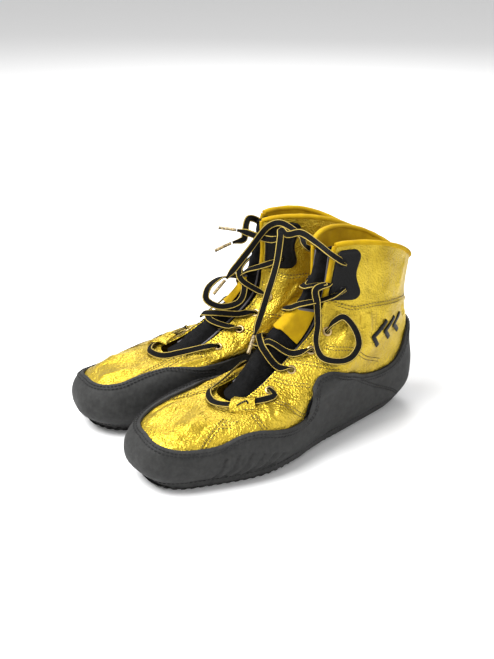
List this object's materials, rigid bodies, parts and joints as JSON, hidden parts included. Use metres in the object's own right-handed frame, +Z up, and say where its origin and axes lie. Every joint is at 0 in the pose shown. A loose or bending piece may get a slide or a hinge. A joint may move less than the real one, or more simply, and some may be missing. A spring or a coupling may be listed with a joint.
{
  "type": "boxing boots",
  "caption": "Pair of laced high-top ring boots: metallic leather upper, yellow lining, rubber rand and outsole, tongue and flat laces.",
  "frame": {"origin": "centre of the pair on the floor, under the middle of its box", "axes": "+Z up; toes along -Y; the left boot is at +X"},
  "size_m": [0.2126, 0.298, 0.1745],
  "materials": {
    "gold_leather": "metallic gold pebbled",
    "black_rubber": "matt",
    "yellow_lining": "fine woven",
    "black_textile": "matt",
    "black_lace": "flat woven",
    "brass": "satin",
    "foam": "matt",
    "fibre_board": "matt",
    "lace_tip": "speckled"
  },
  "bodies": {
    "right_boot": {"right_outsole": "black_rubber", "right_insole_board": "fibre_board", "right_insole": "foam", "right_rand_front": "black_rubber", "right_rand_heel": "black_rubber", "right_vamp": "gold_leather", "right_quarter_lateral": "gold_leather", "right_quarter_medial": "gold_leather", "right_cuff": "gold_leather", "right_vamp_lining": "black_textile", "right_quarter_lining": "yellow_lining", "right_heel_counter": "fibre_board", "right_lace_patch_lateral": "black_rubber", "right_lace_patch_medial": "black_rubber", "right_lace_tag": "gold_leather", "right_eyelet_lateral_1": "brass", "right_eyelet_lateral_2": "brass", "right_eyelet_lateral_3": "brass", "right_eyelet_lateral_4": "brass", "right_eyelet_medial_1": "brass", "right_eyelet_medial_2": "brass", "right_eyelet_medial_3": "brass", "right_eyelet_medial_4": "brass", "right_lace_threaded": "black_lace", "right_lace_end_a": "black_lace", "right_lace_end_b": "black_lace", "right_aglet_a": "lace_tip", "right_aglet_b": "lace_tip"},
    "left_boot": {"left_outsole": "black_rubber", "left_insole_board": "fibre_board", "left_insole": "foam", "left_rand_front": "black_rubber", "left_rand_heel": "black_rubber", "left_vamp": "gold_leather", "left_quarter_lateral": "gold_leather", "left_quarter_medial": "gold_leather", "left_cuff": "gold_leather", "left_vamp_lining": "black_textile", "left_quarter_lining": "yellow_lining", "left_heel_counter": "fibre_board", "left_lace_patch_lateral": "black_rubber", "left_lace_patch_medial": "black_rubber", "left_lace_tag": "gold_leather", "left_eyelet_lateral_1": "brass", "left_eyelet_lateral_2": "brass", "left_eyelet_lateral_3": "brass", "left_eyelet_lateral_4": "brass", "left_eyelet_medial_1": "brass", "left_eyelet_medial_2": "brass", "left_eyelet_medial_3": "brass", "left_eyelet_medial_4": "brass", "left_lace_threaded": "black_lace", "left_lace_end_a": "black_lace", "left_lace_end_b": "black_lace", "left_aglet_a": "lace_tip", "left_aglet_b": "lace_tip"},
    "left_tongue": {"left_tongue": "black_textile", "left_tongue_keeper": "yellow_lining"},
    "right_tongue": {"right_tongue": "black_textile", "right_tongue_keeper": "yellow_lining"}
  },
  "joints": [
    {"name": "left_boot_lift", "type": "slide", "parent": "right_boot", "child": "left_boot", "axis": [0, 0, 1], "range_m": [0, 0.25]},
    {"name": "left_tongue_swing", "type": "hinge", "parent": "left_boot", "child": "left_tongue", "pos_m": [0.05185, -0.05219, 0.05082], "axis": [-0.9936, -0.1132, 0], "range_deg": [0, 11], "stiffness_Nm_per_rad": 0.4, "springref_deg": -2.29},
    {"name": "right_tongue_swing", "type": "hinge", "parent": "right_boot", "child": "right_tongue", "pos_m": [-0.05185, -0.05659, 0.05082], "axis": [-0.9936, 0.1132, 0], "range_deg": [0, 11], "stiffness_Nm_per_rad": 0.4, "springref_deg": -2.29}
  ]
}
